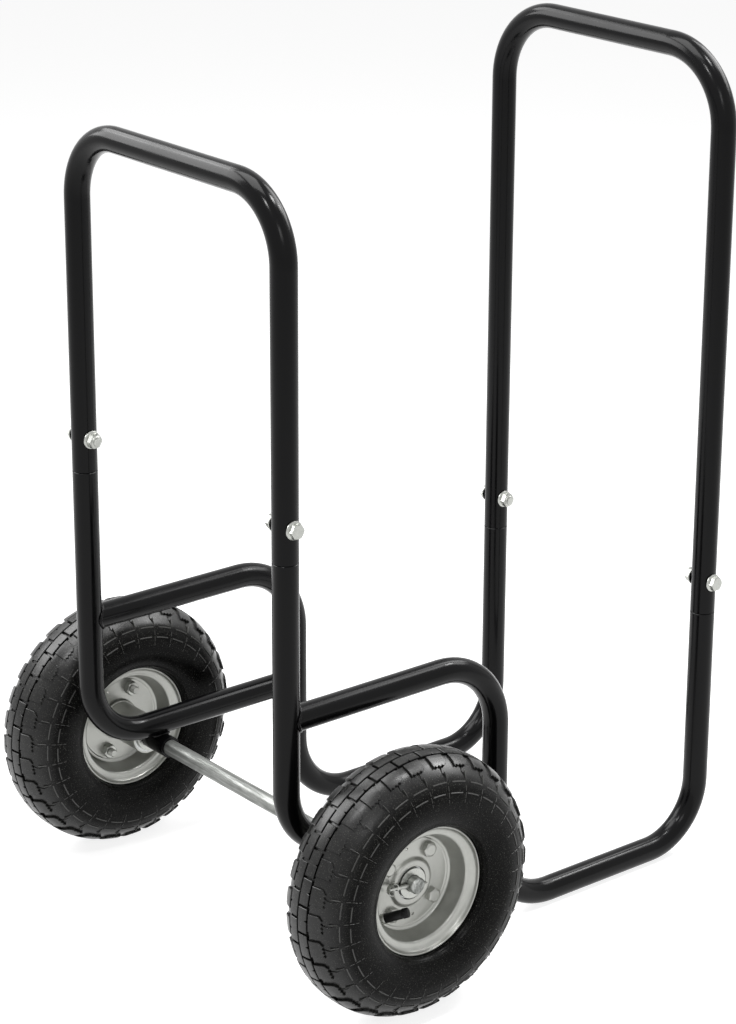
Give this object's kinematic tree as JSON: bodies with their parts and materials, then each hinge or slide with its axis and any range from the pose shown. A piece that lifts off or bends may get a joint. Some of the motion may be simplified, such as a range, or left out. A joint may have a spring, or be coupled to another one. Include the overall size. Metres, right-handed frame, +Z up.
{
  "type": "fireside log cart",
  "caption": "Fireside cart of bent black tube with a low and a tall U handle, a stepped open load bed and pneumatic wheels on a through axle.",
  "frame": {"origin": "middle of the cart's overall length and width, on the floor", "axes": "+Z up, +X to the cart's right side, +Y from the wheels towards the tall handle"},
  "size_m": [0.5562, 0.5935, 0.844],
  "materials": {
    "enamel": "gloss black powder coat",
    "bright_zinc": "bright zinc plate",
    "galvanised": "dull zinc plate",
    "rim_silver": "satin silver",
    "bearing_steel": "ground steel with dark seals",
    "tyre": "satin black rubber",
    "inner_tube": "satin black rubber",
    "cap_plastic": "black moulded plastic"
  },
  "bodies": {
    "cart": {"side_tube_left": "enamel", "side_tube_right": "enamel", "front_tube_left": "enamel", "front_tube_right": "enamel", "axle_sleeve_left": "enamel", "axle_sleeve_right": "enamel", "low_handle": "enamel", "tall_handle": "enamel", "handle_bolts": "bright_zinc", "handle_nuts": "bright_zinc", "split_pins": "bright_zinc", "axle_washers": "bright_zinc", "axle": "galvanised"},
    "left_wheel": {"tyre_left": "tyre", "inner_tube_left": "inner_tube", "valve_cap_left": "cap_plastic", "outer_rim_left": "rim_silver", "inner_rim_left": "rim_silver", "hub_left": "rim_silver", "hub_bearings_left": "bearing_steel", "rim_bolts_left": "bright_zinc", "rim_nuts_left": "bright_zinc"},
    "right_wheel": {"tyre_right": "tyre", "inner_tube_right": "inner_tube", "valve_cap_right": "cap_plastic", "outer_rim_right": "rim_silver", "inner_rim_right": "rim_silver", "hub_right": "rim_silver", "hub_bearings_right": "bearing_steel", "rim_bolts_right": "bright_zinc", "rim_nuts_right": "bright_zinc"}
  },
  "joints": [
    {"name": "left_wheel_spin", "type": "hinge", "parent": "cart", "child": "left_wheel", "pos_m": [-0.2361, -0.16675, 0.13], "axis": [1, 0, 0], "continuous": true},
    {"name": "right_wheel_spin", "type": "hinge", "parent": "cart", "child": "right_wheel", "pos_m": [0.2361, -0.16675, 0.13], "axis": [1, 0, 0], "continuous": true}
  ]
}
